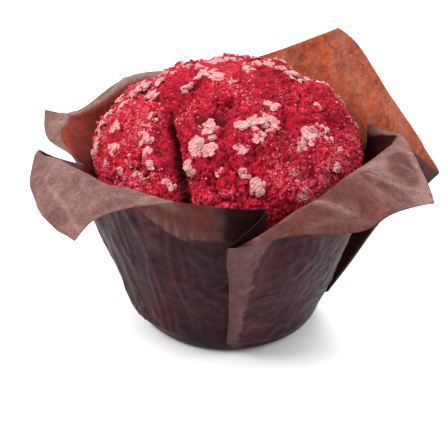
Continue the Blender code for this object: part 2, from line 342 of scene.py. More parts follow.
def tuck_point(panel, share, place):
    """A point on the layer that runs back from a panel's tucked fold to the next fold."""
    following = ORDER[(ORDER.index(panel) + 1) % len(ORDER)]
    inner = panel_point(panel, 1.0, place)
    outer = panel_point(following, 0.0, place)
    if following == ORDER[0]:
        outer = (outer[0] + 360, outer[1], outer[2])
    opening = min(place / PLEAT_START, 1.0)
    folded = smooth_step(PLEAT_START, PLEAT_SETTLED, place)
    gap = LAYER_STEP * opening * (0.5 + 0.5 * folded)
    leaning = smooth_step(*TUCK_LEAN_PLACES, place)
    slant = math.radians(UPRIGHT_TUCK + (LEANING_TUCK - UPRIGHT_TUCK) * leaning)
    back = math.degrees(gap * math.cos(slant) / outer[1])
    spread = PLEAT_ROOT_TURN / 2 * (1 - opening)
    inner = (inner[0] + spread, inner[1] + gap, inner[2])
    outer = (outer[0] - spread - back, outer[1] - gap * math.sin(slant), outer[2])
    return blend(inner, outer, share)


print("front fold's tip:", [round(x, 1) for x in panel_point("front_right", 0.0, 3.0)])

# %% [markdown]
# ## Grease, dry paper and wrinkles
#
# Where the paper touches the cake, fat soaks in: it turns dark and a little glossy. Near the
# folds and on the petals it stays dry and pale. Shade in the pockets and folds is painted
# dark, and light through the petals is painted orange. We store these shares on the mesh's
# points, so that the material can follow the sheet wherever it folds. The wrinkles move points
# by a smooth rule in space, so that layers that lie on each other move together.

# %% Shares of grease, painted shade, painted backlight and tone for a point of the sheet
DRY_STRIP_WIDTH = 0.13
STRIP_WIDENS = 0.075
# how much of the painted shade behind a fold fades at the fold's tip
DRY_TIP = {"front_right": 1.0, "back_left": 0.8}
DRY_TIP_PLACES = (2.2, 2.7)
SIDES = ("outside", "inside")
SHARES = ("grease", "stain", "glow", "tone")


def oval_patch(across, place, centre, size):
    """One at the centre of an oval patch on the sheet, fading to zero outside it."""
    away = math.hypot((across - centre[0]) / size[0], (place - centre[1]) / size[1])
    return 1 - smooth_step(0.5, 1.3, away)


def tucked_painted_shade(panel, place):
    """Painted shade on the layer behind a fold, which fades where the fold's tip shows dry
    paper.
    """
    return 1 - DRY_TIP.get(panel, 0.0) * smooth_step(*DRY_TIP_PLACES, place)


def outside_shares(panel, across, place, tucked):
    """Grease, painted shade, painted backlight and dark tone on the outside."""
    wider = STRIP_WIDENS * smooth_step(1.0, 2.0, place)
    strip = 1.0 if tucked else 1 - smooth_step(0.0, DRY_STRIP_WIDTH + wider, across)
    grease = (1 - smooth_step(1.5, 2.0, place)) * (1 - strip)
    stain = glow = 0.0
    tone = 1.0
    if panel == "back_right":  # the tall petal lets light through, painted into its colour
        glow = 0.5 * smooth_step(1.9, 2.5, place) * smooth_step(0.02, 0.2, across)
    elif panel == "front_left":  # grease ends at a height; above it, painted backlight and painted shade
        height = panel_point(panel, across, place)[2]
        border = 54 - 14 * smooth_step(0.5, 0.8, across)
        grease = 1 - smooth_step(border, border + 12, height)
        pale = smooth_step(1.75, 2.0, place) * (1 - smooth_step(0.72, 0.84, across))
        grease *= 1 - pale
        glow = 0.5 * smooth_step(1.3, 1.8, place) * (1 - smooth_step(0.86, 0.92, across))
        # painted shade by the fold's pocket, and a lighter painted shade over the band
        stain = smooth_step(0.87, 0.93, across) * smooth_step(1.4, 1.8, place)
        stain = max(stain, 0.4 * smooth_step(1.3, 1.8, place))
        glow, stain, tone = glow * (1 - pale), stain * (1 - pale), 1 - pale
    # the layer behind the fold is darkened as painted shade
    if tucked:
        stain = tucked_painted_shade(panel, place)
    return grease, stain, glow, tone


def inside_shares(panel, across, place, tucked):
    """Grease, painted shade, painted backlight and dark tone on the inside."""
    grease = 1 - smooth_step(1.75, 2.0, place)
    stain = glow = tone = 0.0
    if panel == "front_right":  # darker oval patches, painted shade by pocket and fold, a little painted backlight
        stain = smooth_step(0.68, 0.8, across) * (1 - smooth_step(2.2, 2.9, place))
        stain = max(stain, 1 - smooth_step(0.02, 0.06, across))
        glow = 0.3 * oval_patch(across, place, (0.33, 2.85), (0.07, 0.15))
        tone = 1 - 0.75 * smooth_step(0.25, 0.5, across)
        tone = max(tone, 1.05 * oval_patch(across, place, (0.57, 2.6), (0.075, 0.3)))
        tone = max(tone, 0.95 * oval_patch(across, place, (0.44, 2.5), (0.04, 0.5)))
    elif panel == "back_right":  # light through the tall petal is painted all over
        glow = smooth_step(0.9, 1.3, place)
        tone = 0.4 * (1 - smooth_step(0.62, 0.76, across))
        grease = 0.0
    elif panel == "back_left":  # painted backlight, deep red and painted shade below a slanting limit, dry paper above
        limit = 1.95 + 2.0 * max(across - 0.6, 0.0)
        glow = smooth_step(0.9, 1.5, place) * (1 - smooth_step(limit, limit + 0.2, place))
        stain = 0.8 * (1 - smooth_step(1.4, 1.75, place))
        stain = max(stain, 0.36 - 0.36 * smooth_step(1.9, 2.4, place))
        tone = 1.3 - 1.3 * smooth_step(limit, limit + 0.3, place)
        grease = 0.0
    elif panel == "front_left":  # a slightly darker border at the edge
        tone = 0.45 * smooth_step(2.62, 2.72, place + 0.25 * abs(across - 0.4))
    # the layer behind the fold is darkened as painted shade
    if tucked:
        stain = tucked_painted_shade(panel, place)
    return grease, stain, glow, tone


print("outside of the dry strip:", outside_shares("front_right", 0.03, 1.0, False))

# %% How wrinkles move the paper
STREAK_RADIUS = 32.5
STREAK_SPACING = 3.2
STREAK_LENGTH = 34.0
STREAK_HEIGHT = 0.6
STREAK_SHARPNESS = 0.2
STREAK_BEND = 0.15
STREAKED_SIDE = (-0.1, 0.5)
NETWORK_SIZES = (8.5, 4.2)
NETWORK_HEIGHTS = (0.45, 0.25)
NETWORK_LOSS = 0.75
CREASE_SHARPNESS = 0.22
SWELL_HEIGHT = 0.35
WRINKLE_LEVEL = 0.4
SWAYS = ((24, 0.9), (9, 0.35))
PETAL_CREASE_SIZE = 8
PETAL_CREASE_HEIGHT = 0.2
FLAT_SIZE = (80.0, 20.0)
FOLD_WIDTH = 1.3
FOLD_HEIGHT = 0.55
FOLDS = {
    "front_right": (((0.655, 2.4), (0.65, 2.9)), ((0.44, 2.3), (0.5, 2.75)),
                    ((0.5, 2.75), (0.53, 2.95)), ((0.2, 2.2), (0.26, 2.7))),
    "back_right": (((0.74, 2.5), (0.68, 1.9)), ((0.25, 2.3), (0.4, 2.5)),
                   ((0.4, 2.5), (0.47, 2.9)), ((0.14, 2.2), (0.2, 2.8))),
    "back_left": (((0.62, 1.9), (0.58, 2.8)), ((0.42, 2.0), (0.38, 2.8)),
                  ((0.25, 2.1), (0.2, 2.9)), ((0.7, 1.9), (0.72, 2.6))),
    "front_left": (((0.29, 2.66), (0.4, 2.69)), ((0.4, 2.69), (0.53, 2.9)),
                   ((0.72, 2.2), (0.7, 2.9)), ((0.2, 2.1), (0.24, 2.6))),
}


def crease(value, sharpness):
    """A sharp ridge where a smooth noise passes through zero."""
    return 1 - min(abs(value) / sharpness, 1.0)


def near_fold(panel, across, place):
    """One on an old fold line of the sheet, fading to zero beside it."""
    here = Vector((across * FLAT_SIZE[0], place * FLAT_SIZE[1]))
    closest = FOLD_WIDTH
    for ends in FOLDS[panel]:
        start, end = (Vector((a * FLAT_SIZE[0], b * FLAT_SIZE[1])) for a, b in ends)
        along = (here - start).dot(end - start) / (end - start).length_squared
        nearest = start + (end - start) * min(max(along, 0.0), 1.0)
        closest = min(closest, (here - nearest).length)
    return 1 - closest / FOLD_WIDTH


def wrinkle(point, column, place):
    """How far the sheet is moved, in millimetres, and how much of a ridge it is there."""
    panel, across, tucked = column
    radial = Vector((point.x, point.y, 0)).normalized()
    leftness = smooth_step(*STREAKED_SIDE, -radial.x)
    bend = STREAK_BEND * noise.noise(point / 9)
    around = radial * STREAK_RADIUS / STREAK_SPACING
    around += Vector((bend, bend, point.z / STREAK_LENGTH))
    streaks = crease(noise.noise(around), STREAK_SHARPNESS) * leftness
    coarse, fine = (
        crease(noise.noise(point / size + Vector((2, 7, 1))), CREASE_SHARPNESS)
        * (1 - NETWORK_LOSS * leftness) for size in NETWORK_SIZES)
    coarse *= smooth_step(-0.2, 0.2, noise.noise(point / 15 + Vector((3, 8, 2))))
    rise = STREAK_HEIGHT * streaks + NETWORK_HEIGHTS[0] * coarse + NETWORK_HEIGHTS[1] * fine
    rise += SWELL_HEIGHT * noise.noise(point / 11)
    on_wall = smooth_step(0.0, 0.25, place) * (1 - smooth_step(1.5, 2.2, place))
    on_wall *= 0.3 if tucked else smooth_step(0.0, 0.1, across)
    loose = smooth_step(1.3, 2.6, place)
    wide, narrow = (noise.noise_vector(point / size) * far for size, far in SWAYS)
    small = noise.noise(point / PETAL_CREASE_SIZE + Vector((1, 1, 6)))
    small = crease(small, CREASE_SHARPNESS)
    fold = 0.0 if tucked else near_fold(panel, across, place)
    up = Vector((0, 0, 1))
    move = radial * ((rise - WRINKLE_LEVEL) * on_wall + PETAL_CREASE_HEIGHT * small * loose)
    move += (wide + narrow) * loose
    move += (radial * 0.5 + up * 0.8) * FOLD_HEIGHT * fold
    ridge = max(max(streaks, coarse, 0.6 * fine) * on_wall, fold, 0.35 * small * loose)
    return move, ridge


print("a wrinkle:", wrinkle(Vector((-30, -10, 20)), ("front_left", 0.4, False), 1.0))

# %% Fold the sheet: a grid whose columns go once round the cup
PAPER_THICKNESS = 0.2
CASE_BOTTOM = 0.25
PANEL_STEPS = 80
TUCK_STEPS = 5
BASE_RINGS = (
    (0, 0), (8, 0), (15, 0), (20, 0), (23, 0), (24.2, 0.25), (25.2, 0.75), (26.1, 1.5),
    (26.75, 2.4),
)
ROW_STEPS = {1: 42, 2: 28, 3: 30}  # the place where each run of rows ends, and its steps
WALL_ROWS = [0, 0.03, 0.055, PLEAT_START]
for place, steps in ROW_STEPS.items():
    low = WALL_ROWS[-1]
    WALL_ROWS += [low + (place - low) * i / steps for i in range(1, steps + 1)]


def folded(column, row):
    """The paper's middle at a column and a row, in millimetres, its place and its ridge."""
    panel, across, tucked = column
    place = WALL_ROWS[max(row - len(BASE_RINGS), 0)]
    rule = tuck_point if tucked else panel_point
    azimuth, radius, height = rule(panel, across, place)
    if row < len(BASE_RINGS):
        radius, height = BASE_RINGS[row]
        height += CASE_BOTTOM
    point = round_point(radius, math.radians(azimuth), height)
    if row < len(BASE_RINGS):
        return point, place, 0.0
    move, ridge = wrinkle(point, column, place)
    return Vector(held_inside(point + move, PAPER_THICKNESS)), place, ridge


columns = []  # each holds a panel, a share across it, and whether it is tucked
for panel in ORDER:
    columns += [(panel, i / PANEL_STEPS, False) for i in range(PANEL_STEPS + 1)]
    columns += [(panel, i / TUCK_STEPS, True) for i in range(TUCK_STEPS + 1)]
columns.append(columns[0])
column_count = len(columns) - 1
row_count = len(BASE_RINGS) + len(WALL_ROWS) - 1
sheet = bmesh.new()
bmesh.ops.create_grid(sheet, x_segments=column_count, y_segments=row_count, size=1)
layers = {}
ridge_layer = sheet.verts.layers.float.new("ridge")
for side in SIDES:
    layers[side] = [sheet.verts.layers.float.new(f"{name}_{side}") for name in SHARES]
for vert in sheet.verts:
    column = columns[round((vert.co.x + 1) / 2 * column_count)]
    row = round((vert.co.y + 1) / 2 * row_count)
    point, place, vert[ridge_layer] = folded(column, row)
    vert.co = point * MM
    for side, rule in zip(SIDES, (outside_shares, inside_shares)):
        for layer, share in zip(layers[side], rule(column[0], column[1], place, column[2])):
            vert[layer] = share
bmesh.ops.remove_doubles(sheet, verts=sheet.verts, dist=0.01 * MM)
bmesh.ops.recalc_face_normals(sheet, faces=sheet.faces)
lowest = min(sheet.faces, key=lambda face: face.calc_center_median().z)
if lowest.normal.z > 0:
    bmesh.ops.reverse_faces(sheet, faces=sheet.faces)
print("sheet points:", len(sheet.verts), "faces:", len(sheet.faces))

# %% Give the sheet its thickness: outside in slot 0, inside in slot 1


def finished(name, bm, *materials, smooth=True):
    """An object with the bmesh's faces, which frees the bmesh."""
    mesh = bpy.data.meshes.new(name)
    bm.to_mesh(mesh)
    bm.free()
    for material in materials:
        mesh.materials.append(material)
    if smooth:
        mesh.shade_smooth()
    piece = bpy.data.objects.new(name, mesh)
    bpy.context.scene.collection.objects.link(piece)
    return piece


paper = finished("folded_paper", sheet)
thickness = paper.modifiers.new("thickness", "SOLIDIFY")
thickness.thickness = PAPER_THICKNESS * MM
thickness.offset = 0
thickness.use_even_offset = False
thickness.material_offset = 1
print("paper thickness, mm:", PAPER_THICKNESS)

# %% [markdown]
# ## The paper's finish
#
# Dry baking paper is matt and faintly fibrous. Grease makes it darker, smoother and cooler
# in colour, with a blotchy border. Where light comes through a greasy petal from behind, it
# looks orange; this light is painted into the colour. Shade in pockets and folds is painted
# maroon, and wrinkle crests get a painted highlight. The same recipe serves both sides, with
# its own share of grease.

# %% Outside and inside of the paper
DRY_LIGHT = (0.164, 0.089, 0.075)
DRY_BROWN = (0.118, 0.056, 0.047)
DRY_DARK = {"outside": (0.085, 0.038, 0.038), "inside": (0.080, 0.027, 0.022)}
# painted highlight on the crests of dry wrinkles and folds
DRY_CREASE_HIGHLIGHT = (0.24, 0.145, 0.125)
GREASY_GREY = (0.014, 0.005, 0.007)
GREASY_RED = (0.032, 0.0045, 0.0075)
# painted highlight on the crests of greasy wrinkles
GREASY_CREASE_HIGHLIGHT = (0.080, 0.018, 0.030)
# painted shade in the pockets, folds and inner walls
PAINTED_SHADE_MAROON = (0.016, 0.003, 0.003)
# painted light through the paper: tan, orange and red, with darker veins
BACKLIT_TAN = (0.29, 0.082, 0.046)
BACKLIT_ORANGE = (0.36, 0.078, 0.027)
BACKLIT_RED = (0.15, 0.016, 0.010)
BACKLIT_VEIN = (0.085, 0.022, 0.020)
VEIN_STRETCH = (1.0, 1.0, 0.6)


def paper_finish(side):
    """Baking paper, dry or greasy, with painted shade, painted backlight and crease highlights.
    """
    look = Finish(f"paper_{side}", 0.6)
    felt = look.noise(0.8, 3.0, 0.75)
    mottle = look.noise(2.6, 4.0, 0.65)
    clouds = look.noise(13.0, 4.0, 0.6)
    ragged = (look.noise(6.0, 5.0, 0.65) - 0.5) * 0.9 + (felt - 0.5) * 0.5
    ridge = look.attribute("ridge")
    grease = look.between(0.42, 0.58, look.attribute(f"grease_{side}") + ragged)
    stain = look.between(0.1, 0.9, look.attribute(f"stain_{side}") + ragged * 0.4)
    glow = look.between(0.1, 0.9, look.attribute(f"glow_{side}") + ragged * 0.3)
    tone = look.between(0.2, 1.0, look.attribute(f"tone_{side}") + ragged * 0.5)
    dry = look.mix(look.between(0.35, 0.65, clouds), DRY_LIGHT, DRY_BROWN)
    dry = look.mix(tone, dry, DRY_DARK[side])
    # painted highlight on the crests of wrinkles and folds
    dry = look.mix(ridge * 0.55, dry, DRY_CREASE_HIGHLIGHT)
    greasy = look.mix(look.between(0.4, 0.65, clouds), GREASY_GREY, GREASY_RED)
    # painted highlight on the crests of greasy wrinkles
    greasy = look.mix(ridge * look.between(0.3, 0.6, mottle) * 0.75, greasy, GREASY_CREASE_HIGHLIGHT)
    colour = look.mix(grease, dry, greasy)
    # painted backlight: the orange look of light shining through the paper
    backlit_colour = look.mix(look.between(0.38, 0.6, look.noise(10.0, 5.0, 0.65)), BACKLIT_TAN, BACKLIT_ORANGE)
    backlit_colour = look.mix(look.between(0.48, 0.7, look.noise(6.5, 5.0, 0.65)) * 0.65, backlit_colour, BACKLIT_RED)
    upright = look.node("ShaderNodeMapping", {}, {"Vector": look.place, "Scale": VEIN_STRETCH})
    drift = look.noise(10.0, 5.0, 0.6, upright) - 0.5
    veins = look.between(0.0016, 0.0, drift * drift) * look.between(0.4, 0.6, mottle)
    backlit_colour = look.mix(veins * 0.6, backlit_colour, BACKLIT_VEIN)
    # painted highlight on crests of the backlit paper
    backlit_colour = look.mix(ridge * 0.5, backlit_colour, DRY_CREASE_HIGHLIGHT)
    backlit_colour = look.mix(tone * 0.95, backlit_colour, BACKLIT_RED)
    # painted backlight laid over the paper's colour
    colour = look.mix(glow, colour, backlit_colour)
    # painted shade darkens the paper to maroon
    colour = look.mix(stain, colour, PAINTED_SHADE_MAROON)
    light = look.between(0.3, 0.7, felt) * 0.5 + look.between(0.3, 0.7, mottle) * 0.3 + 0.6
    grey = look.node("ShaderNodeCombineColor", {}, {0: light, 1: light, 2: light})
    colour = look.mix(1.0, colour, grey, "MULTIPLY")
    relief = look.bump(felt, 0.06)
    relief = look.bump(mottle, 0.25, relief)
    look.paint(Specular_IOR_Level=0.07)
    return look.paint(Base_Color=colour, Roughness=0.75 - grease * 0.33, Normal=relief)


for side in SIDES:
    paper.data.materials.append(paper_finish(side))
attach(paper, "root")
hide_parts("paper_case")
print("paper materials:", [m.name for m in paper.data.materials])

# %% [markdown]
# ## The cake
#
# The cake is one solid: a cup-shaped body below and a dome above. The dome's crumb is a
# rough skin of bumps under three millimetres wide, with a deep split and small fissures. An
# even grid is wrapped over the dome, so that crumbs are equally sharp everywhere, and every
# point is pushed out or in by noise. The hidden sides need only a few rings.

# %% The plain cake's profile, in millimetres
CAKE_BOTTOM = 0.8
DOME_HEIGHT = 55.0
DOME_RADIUS = 38.9
DOME_POWER = 1.27
CAKE_TOP = 78.9
DOME_SHIFT = -0.2
TOP_SHIFT = 2.2
TOP_BACK = 3.0
CAKE_SIDE = (
    (0.0, 0.0, CAKE_BOTTOM),
    (0.09, 22.0, CAKE_BOTTOM),
    (0.12, 24.6, 1.9),
    (0.15, 26.3, 4.4),
    (0.32, 36.9, 34.0),
    (0.42, DOME_RADIUS, DOME_HEIGHT),
)


def cake_profile(share):
    """Radius and height of the plain cake, from the middle of its base to its top."""
    for low, high in zip(CAKE_SIDE, CAKE_SIDE[1:]):
        if share < high[0]:
            return blend(low[1:], high[1:], (share - low[0]) / (high[0] - low[0]))
    turn = math.radians(90) * (share - CAKE_SIDE[-1][0]) / (1 - CAKE_SIDE[-1][0])
    radius = DOME_RADIUS * max(math.cos(turn), 0.0) ** DOME_POWER
    return radius, DOME_HEIGHT + (CAKE_TOP - DOME_HEIGHT) * math.sin(turn) ** DOME_POWER


print("widest at:", cake_profile(CAKE_SIDE[-1][0]))

# %% Crags, the split, pits and fissures
CRAG_SIZES = (11, 4.8)
CRAG_HEIGHTS = (2.0, 1.4)
CRAG_OFFSET = Vector((5, 1, 3))
SPLIT_X = -12.0
SPLIT_LEAN = -0.12
SPLIT_BEND = -0.011
SPLIT_DEPTH = 6.2
SPLIT_NARROWS = 0.03
SPLIT_LEFT_WIDTH = 3.2
SPLIT_RIGHT_WIDTH = 1.2
SPLIT_END = (-18, -2)
FISSURE_SPACING = 12
FISSURE_WIDTH = 0.09
FISSURE_DEPTH = 1.7
PITS = (
    (-8, -18, 2.4, 2.2), (-2.5, -18, 2.8, 1.9), (0.5, -12, 2.0, 2.2), (-0.5, -22, 2.0, 1.4),
    (11.5, 3, 3.0, 1.4), (-9.5, -1.5, 2.6, 1.8), (-20, 12, 3.0, 1.7), (6, 20, 3.2, 1.8),
    (22, 14, 2.6, 1.4), (-4, 30, 2.8, 1.6), (28, -8, 2.2, 0.8), (-27, -8, 2.2, 1.2),
    (-9, -33, 3.2, 1.5),
)


def crag(point):
    """Smooth bumps of the dome."""
    low = CRAG_HEIGHTS[0] * noise.noise(point / CRAG_SIZES[0])
    return low + CRAG_HEIGHTS[1] * noise.noise(point / CRAG_SIZES[1] + CRAG_OFFSET)


def split(point):
    """Depth of the long split: its left side slopes gently and its right side is steep."""
    rise = point.z - DOME_HEIGHT
    wander = 0.9 * noise.noise(point / 7) + 0.5 * noise.noise(point / 2.2)
    across = point.x - (SPLIT_X + SPLIT_LEAN * rise + SPLIT_BEND * rise * rise + wander)
    across /= SPLIT_LEFT_WIDTH if across < 0 else SPLIT_RIGHT_WIDTH
    across /= max(1.1 - SPLIT_NARROWS * rise, 0.5)
    along = 1 - smooth_step(*SPLIT_END, point.y)
    return SPLIT_DEPTH * math.exp(-abs(across) ** 1.5) * along


def pits(point):
    """Depth of the small pits, each given by its place, radius and depth."""
    depth = 0.0
    for x, y, radius, deep in PITS:
        away = math.hypot(point.x - x, point.y - y) / radius
        away *= 1 + 0.5 * noise.noise(point / 2.5)
        depth = max(depth, deep * math.exp(-away ** 3))
    return depth


def fissure(point):
    """Narrow cracks along the borders of large cells, only here and there."""
    near, _ = noise.voronoi(point / FISSURE_SPACING + noise.noise_vector(point / 5) * 0.3)
    border = math.exp(-(((near[1] - near[0]) / FISSURE_WIDTH) ** 2))
    here = smooth_step(0.0, 0.35, noise.noise(point / 14 + Vector((9, 2, 4))))
    return FISSURE_DEPTH * border * here


print("split depth at its foot, mm:", round(split(Vector((-12.5, -33, 56))), 1))

# %% Crumbs, and how much sugar dusts them
CRUMB_SIZES = (2.6, 1.25, 0.7)
CRUMB_WEIGHTS = (0.45, 0.33, 0.22)
CRUMB_RELIEF = 2.4
CRUMB_LEVEL = 0.36
CRACK_HOLLOW = 3
SKIN_ROOM = 0.2
WAY_RISE = 1.6
WAY_DEPTH = 6
FROSTED = ((19.5, -30, 59, 5.5), (22, -33, 54, 4.5), (20, -22, 66, 5.0))


def craggy(point):
    """How rough the crumb is: rough on the left and in patches, finer on the right."""
    left = 1 - smooth_step(0, 20, point.x)
    patch = smooth_step(-0.15, 0.3, noise.noise(point / 17 + Vector((7, 0, 2))))
    return 0.4 + 0.6 * max(0.75 * left, patch)


def billow(point, size):
    """Uneven rounded bumps about size millimetres wide, with sharp gaps between them."""
    return min(2.2 * abs(noise.noise(point / size)), 1.0) ** 0.7


def crumb_height(point):
    """Crumbs of three sizes, from 0 in the gaps to 1 on the tops."""
    bent = point + noise.noise_vector(point / 1.7) * 0.5
    coarse = billow(bent, CRUMB_SIZES[0]) * craggy(point)
    middle = billow(bent + Vector((3, 3, 3)), CRUMB_SIZES[1])
    fine = billow(bent, CRUMB_SIZES[2])
    return sum(w * h for w, h in zip(CRUMB_WEIGHTS, (coarse, middle, fine)))


def sugar_dust(point):
    """How thickly fine sugar lies: most on the left lobe and low on the right."""
    left = 1 - smooth_step(-26, -14, point.x)
    low_right = smooth_step(8, 24, point.x) * (1 - smooth_step(60, 68, point.z))
    patch = noise.noise(point / 9 + Vector((4, 4, 4))) + 0.5 * noise.noise(point / 3.5)
    frosted = max(
        1 - smooth_step(0.4, 1.0, (point - Vector((x, y, z))).length / radius)
        for x, y, z, radius in FROSTED)
    share = 0.12 + 0.50 * left + 0.55 * low_right + 0.45 * frosted + 0.75 * patch
    return min(max(share, 0.0), 1.0)


def dome_way(point):
    """The dome's general outward direction at a point in millimetres."""
    rise = WAY_RISE * (point.z - DOME_HEIGHT + WAY_DEPTH)
    return Vector((point.x, point.y, rise)).normalized()


def cake_point(share, angle):
    """A point of the cake's surface, with its shares of crack, crumb height and dust."""
    radius, height = cake_profile(share)
    point = round_point(radius, angle, height)
    point.x += DOME_SHIFT * smooth_step(WALL_END_HEIGHT, DOME_HEIGHT, height)
    high = smooth_step(DOME_HEIGHT, CAKE_TOP, height)
    point += Vector((TOP_SHIFT * high, TOP_BACK * high, 0))
    risen = smooth_step(DOME_HEIGHT - 1, DOME_HEIGHT + 6, height)
    crumbly = smooth_step(DOME_HEIGHT - 10, DOME_HEIGHT - 2, height)
    valley = split(point) * smooth_step(DOME_HEIGHT - 8, DOME_HEIGHT, height)
    hollow = max(fissure(point), pits(point)) * risen
    crumb = crumb_height(point)
    rise = crag(point) * risen - valley - hollow
    rise += CRUMB_RELIEF * (crumb - CRUMB_LEVEL) * crumbly
    crack = min(valley / SPLIT_DEPTH + hollow / CRACK_HOLLOW, 1.0)
    moved = Vector(held_inside(point + dome_way(point) * rise, SKIN_ROOM))
    return moved, crack, crumb, sugar_dust(point) * (1 - crack)


print("one crumb height:", round(crumb_height(Vector((10, -20, 70))), 2))

# %% Wrap an even grid over the dome
DOME_GRID = 296
RIM_SHARE = 0.372
SIDE_SHARES = (0.32, 0.24, 0.15, 0.12, 0.09)


def share_by_area():
    """Squared distance from the top as a share of the dome's area, and its profile share."""
    shares = np.linspace(1.0, RIM_SHARE, 400)
    line = np.array([cake_profile(s) for s in shares])
    steps = np.linalg.norm(np.diff(line, axis=0), axis=1)
    strips = steps * (line[1:, 0] + line[:-1, 0]) / 2
    area = np.concatenate([[0], np.cumsum(strips)])
    return area / area[-1], shares


def on_disc(x, y):
    """Distance and angle on a disc for a point of the square, keeping areas equal."""
    if x == 0 and y == 0:
        return 0.0, 0.0
    if abs(x) > abs(y):
        return abs(x), math.pi / 4 * (y / x) + (math.pi if x < 0 else 0)
    return abs(y), math.pi / 2 - math.pi / 4 * (x / y) + (math.pi if y < 0 else 0)


area_shares, profile_shares = share_by_area()
cake = bmesh.new()
bmesh.ops.create_grid(cake, x_segments=DOME_GRID, y_segments=DOME_GRID, size=1)
crack_layer = cake.verts.layers.float.new("crack")
crumb_layer = cake.verts.layers.float.new("crumb")
dust_layer = cake.verts.layers.float.new("dust")
for vert in cake.verts:
    away, angle = on_disc(vert.co.x, vert.co.y)
    share = float(np.interp(away * away, area_shares, profile_shares))
    point, crack, crumb, dust = cake_point(share, angle)
    vert[crack_layer] = crack
    vert[crumb_layer] = crumb
    vert[dust_layer] = dust
    vert.co = point * MM
print("dome points:", len(cake.verts))

# %% Draw the rim down the hidden sides and close the base
rim = [edge for edge in cake.edges if edge.is_boundary]
for share in SIDE_SHARES:
    made = bmesh.ops.extrude_edge_only(cake, edges=rim)["geom"]
    rim = [g for g in made if isinstance(g, bmesh.types.BMEdge) and g.is_boundary]
    radius, height = cake_profile(share)
    for vert in {v for edge in rim for v in edge.verts}:
        flat = Vector((vert.co.x, vert.co.y, 0)).normalized() * radius
        vert.co = (flat + Vector((lean(height), 0, height))) * MM
bmesh.ops.edgeloop_fill(cake, edges=rim)
bmesh.ops.recalc_face_normals(cake, faces=cake.faces)
print("cake faces:", len(cake.faces), "open edges:", sum(e.is_boundary for e in cake.edges))

# %% [markdown]
# ## The crumb's finish
#
# Red velvet crumb is crimson, dusted pink where fine sugar clings to the tops of the crumbs.
# Shade is painted darker in the gaps between crumbs and in the cracks, and a highlight is
# painted on crumb tops in patches. The mesh already knows how high each crumb is, so the
# dust can sit where it would really fall.

# %% Crimson crumb with pink dust, painted shade and painted highlights
# painted shade in the gaps between crumbs
CRUMB_GAP_SHADE = (0.13, 0.0015, 0.006)
CRUMB_RED = (0.33, 0.003, 0.020)
# painted highlight on crumb tops, also used where dust lies
HIGHLIGHT_AND_DUST_RED = (0.52, 0.006, 0.023)
# painted shade in the split, pits and fissures
CRACK_SHADE_RED = (0.05, 0.001, 0.003)
SUGAR_DUST = (0.63, 0.148, 0.20)
DUST_GRAIN = 0.42

look = Finish("crimson_crumb", 0.7)
crest = look.attribute("crumb")
patches = look.noise(3.0, 3.0, 0.6)
# painted shade: the lower a crumb's surface, the darker its red
red = look.mix(look.between(0.15, 0.6, crest), CRUMB_GAP_SHADE, CRUMB_RED)
# painted highlight on crumb tops in patches, plus lighter red where dust lies
highlight_and_dust = look.between(0.45, 0.62, patches) * look.between(0.3, 0.65, crest)
highlight_and_dust = highlight_and_dust * 0.75 + look.attribute("dust") * 0.35
red = look.mix(highlight_and_dust, red, HIGHLIGHT_AND_DUST_RED)
grain = look.cells(DUST_GRAIN, "Color")
chance = look.node("ShaderNodeSeparateColor", {}, {"Color": grain})
heaps = look.noise(1.5, 2.0, 0.6) - 0.5
lying = look.attribute("dust") * 0.6 + heaps * 0.9 + (crest - 0.5) * 0.6 - 0.08
specks = look.between(0.0, 0.25, lying - chance)
red = look.mix(specks * 0.55, red, SUGAR_DUST)
# painted shade: the split, pits and fissures are darkened by their depth
dark = look.between(0.2, 0.8, look.attribute("crack"))
red = look.mix(dark * 0.9, red, CRACK_SHADE_RED)
relief = look.bump(look.cells(DUST_GRAIN), 0.3)
relief = look.bump(look.noise(0.9, 3.0, 0.65), 0.7, relief)
look.paint(Specular_IOR_Level=0.15, Subsurface_Weight=0.06)
look.paint(Subsurface_Radius=(1.0, 0.15, 0.1), Subsurface_Scale=1.0 * MM)
crumb_material = look.paint(Base_Color=red, Normal=relief)

cake_piece = finished("cake_crumb", cake, crumb_material)
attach(cake_piece, "root")
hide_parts("cake")
print("cake piece:", cake_piece.name)

# %% [markdown]
# ## The camera
#
# The camera comes before the sugar, because the largest sugar lumps are set where the
# photograph shows them: a ray through a pixel finds its place on the dome.

# %% Camera at the photograph's viewing angle
PICTURE = 447
PIXEL = 0.30 * MM
DISTANCE = 0.62
ELEVATION = 29.0
SENSOR = 36
AIM = Vector((-1.35 * MM, 0, 29.3 * MM))

camera_data = bpy.data.cameras.new("camera")
camera = bpy.data.objects.new("camera", camera_data)
bpy.context.scene.collection.objects.link(camera)
forward = Vector((0, math.cos(math.radians(ELEVATION)), -math.sin(math.radians(ELEVATION))))
camera.location = AIM - forward * DISTANCE
camera.rotation_euler = forward.to_track_quat("-Z", "Y").to_euler()
camera_data.sensor_width = SENSOR
camera_data.lens = SENSOR * DISTANCE / (PICTURE * PIXEL)
camera_data.clip_start = 0.01
camera_data.clip_end = 20
bpy.context.scene.camera = camera
bpy.context.view_layer.update()
print("lens, mm:", round(camera_data.lens, 1))


def on_dome(x, y):
    """The cake's place under a pixel of the photograph, or None beside the cake."""
    across = (x - PICTURE / 2) * PIXEL / DISTANCE
    up = -(y - PICTURE / 2) * PIXEL / DISTANCE
    ray = camera.matrix_world.to_3x3() @ Vector((across, up, -1))
    hit, spot, _, _ = cake_piece.ray_cast(camera.location, ray.normalized())
    return spot if hit else None


print("a place near the dome's top:", on_dome(225, 60))

# %% [markdown]
# ## Sugar lumps
#
# Pearl sugar melts a little in the oven and stays as pale pink lumps, alone or in clusters.
# Each cluster here is a broad flake with smaller ones pressed round it. The ones that the
# photograph shows are placed by pixel, and the rest of the dome gets its own by chance,
# each new one as far from the others as thirty tries allow.

